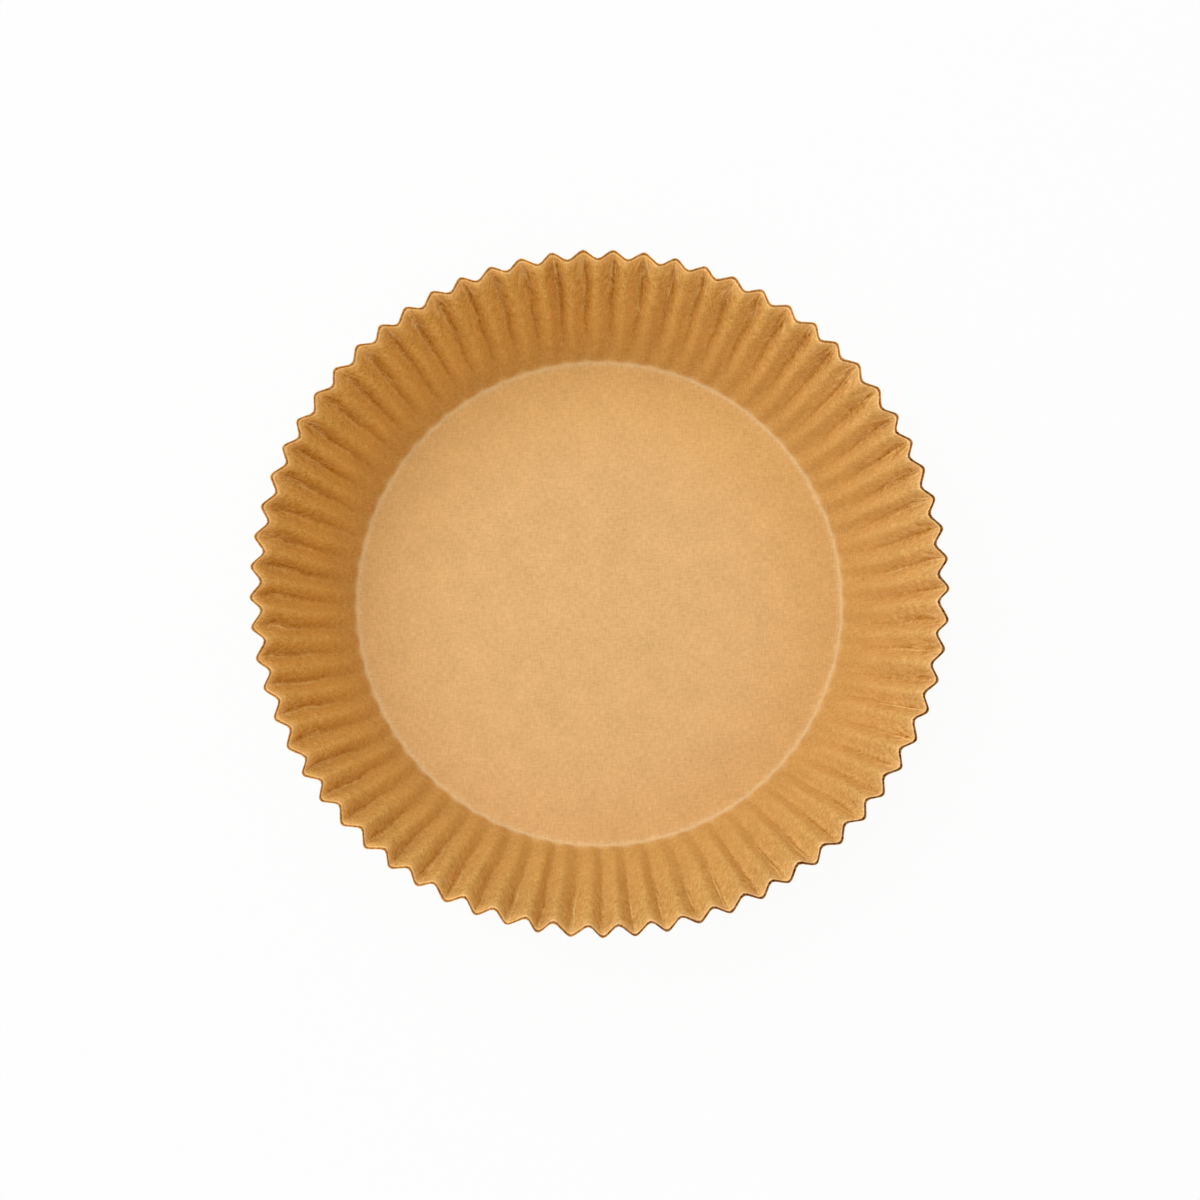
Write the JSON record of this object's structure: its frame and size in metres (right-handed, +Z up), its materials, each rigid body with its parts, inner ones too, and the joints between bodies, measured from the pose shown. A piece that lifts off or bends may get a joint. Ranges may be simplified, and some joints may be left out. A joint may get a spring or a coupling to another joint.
{
  "type": "air fryer paper liner",
  "caption": "Round, shallow liner tray pressed from one sheet of unbleached kraft paper, with a flat base and a fluted wall that leans outwards.",
  "frame": {"origin": "centre of the underside of the flat base, on the surface that the liner stands on", "axes": "+Z up, out of the open side, along the axis of the round; +X to the right and +Y to the top of the picture"},
  "size_m": [0.1999, 0.2, 0.0458],
  "materials": {
    "kraft_paper": "unbleached greaseproof kraft, matt with a faint sheen on the flat base and fine fibres"
  },
  "bodies": {
    "root": {"liner": "kraft_paper"}
  },
  "joints": []
}
